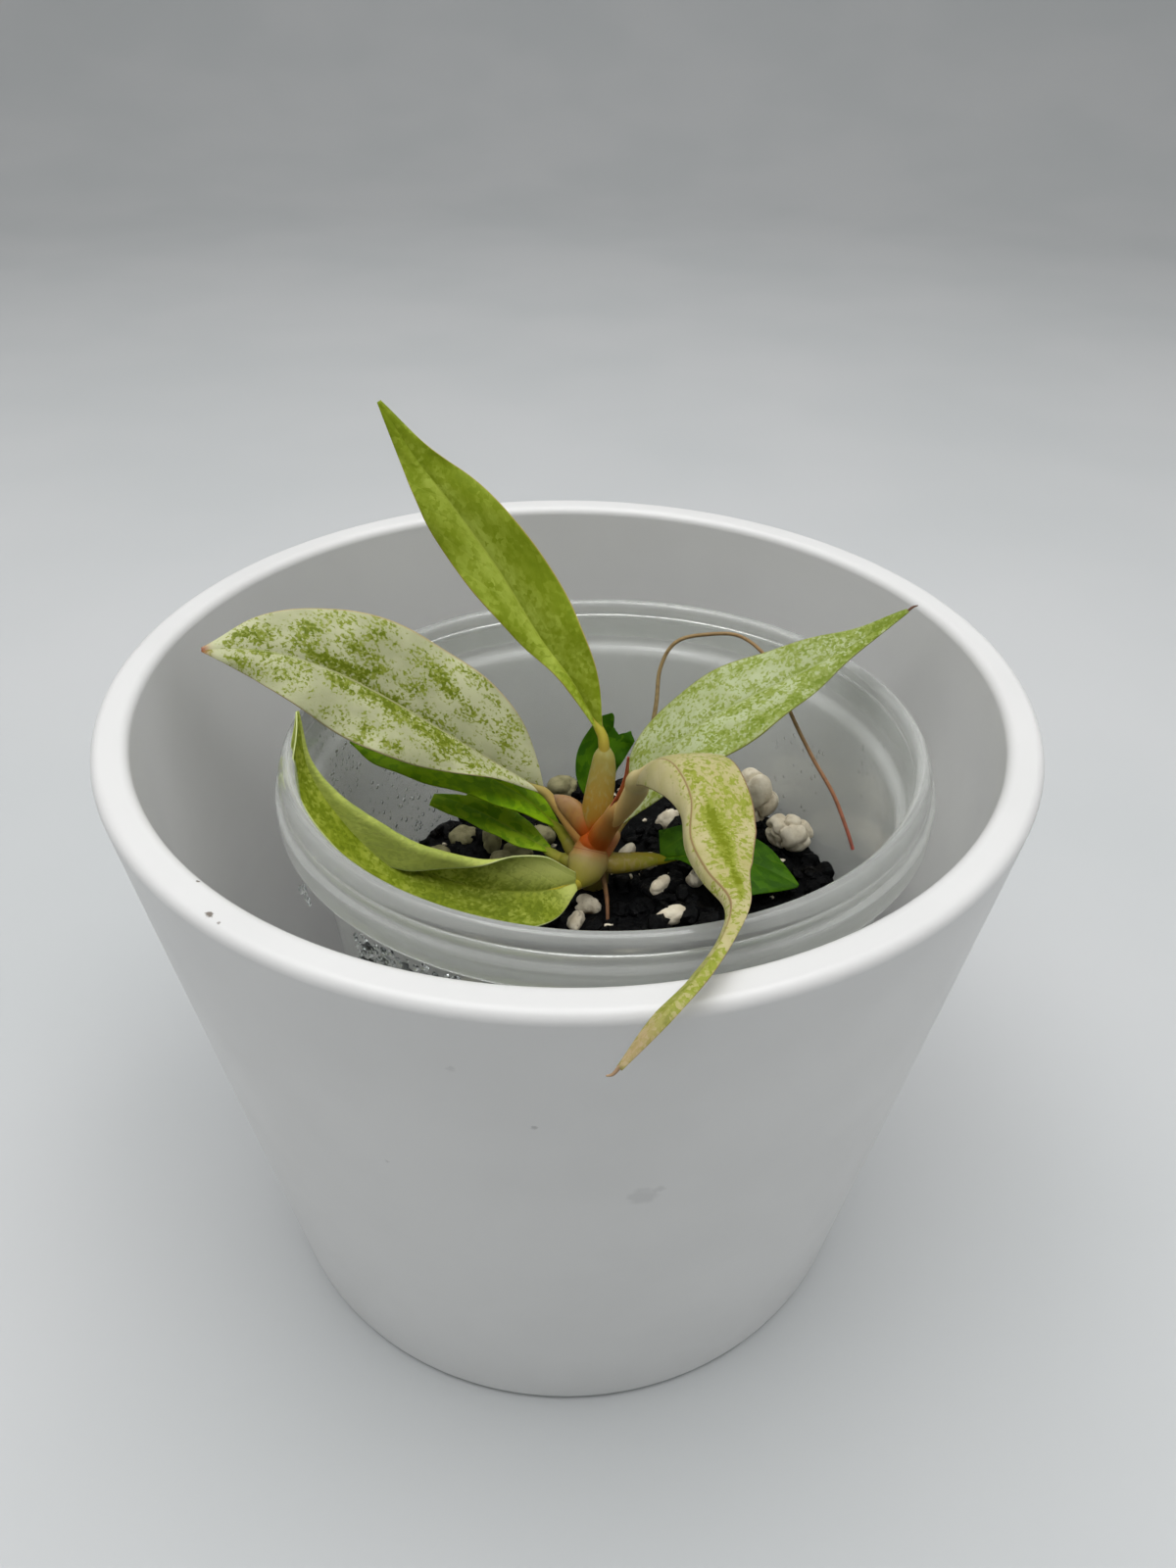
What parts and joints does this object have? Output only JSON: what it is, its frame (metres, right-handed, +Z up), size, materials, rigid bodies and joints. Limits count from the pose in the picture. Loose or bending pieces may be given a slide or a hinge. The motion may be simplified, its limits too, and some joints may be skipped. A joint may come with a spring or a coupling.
{
  "type": "potted philodendron plant",
  "caption": "Small philodendron with slim cream and green speckled leaves, rooted in dark mix in a clear cup that stands inside a tapered white pot.",
  "frame": {"origin": "centre of the pot's flat underside, on the surface that it stands on", "axes": "+Z up along the pot's axis; -Y towards the side that the longest drooping leaf hangs over; +X to the right seen from there"},
  "size_m": [0.16, 0.1689, 0.1624],
  "materials": {
    "pot_ceramic": "smooth white ceramic with a soft satin sheen and rounded edges",
    "cup_plastic": "thin clear to slightly milky moulded plastic, glossy, with water drops inside",
    "soil": "wet black chunky growing mix of charcoal and bark",
    "perlite": "matt off-white popcorn-like expanded rock",
    "stem": "waxy orange and pink-green sheaths round a short stem",
    "leaf_green": "satin yellow-green blade with pale mottling along the midrib",
    "leaf_cream": "satin cream blade with scattered green speckles and a pink edge",
    "leaf_pale": "satin pale green blade with fine cream speckles",
    "leaf_blush": "satin cream and green blade with a dull pink margin",
    "leaf_olive": "satin olive-green mottled blade with a lighter rolled margin",
    "leaf_dark": "satin dark green blade with pale side veins",
    "root": "dry brown root turning red at its tip"
  },
  "bodies": {
    "root": {"pot": "pot_ceramic", "cup": "cup_plastic", "soil": "soil", "perlite_01": "perlite", "perlite_02": "perlite", "perlite_03": "perlite", "perlite_04": "perlite", "perlite_05": "perlite", "perlite_06": "perlite", "perlite_07": "perlite", "perlite_08": "perlite", "perlite_09": "perlite", "perlite_10": "perlite", "perlite_11": "perlite", "perlite_12": "perlite", "perlite_13": "perlite", "perlite_14": "perlite", "perlite_15": "perlite", "perlite_16": "perlite", "perlite_17": "perlite", "perlite_18": "perlite", "perlite_19": "perlite", "perlite_20": "perlite", "perlite_21": "perlite", "perlite_22": "perlite", "stem": "stem", "leaf_upright": "leaf_green", "leaf_left": "leaf_cream", "leaf_right": "leaf_pale", "leaf_drooping": "leaf_blush", "leaf_curled": "leaf_olive", "leaf_low_left": "leaf_dark", "leaf_notched": "leaf_dark", "leaf_back": "leaf_dark", "leaf_low_right": "leaf_dark", "aerial_root": "root", "soil_root": "root"}
  },
  "joints": []
}
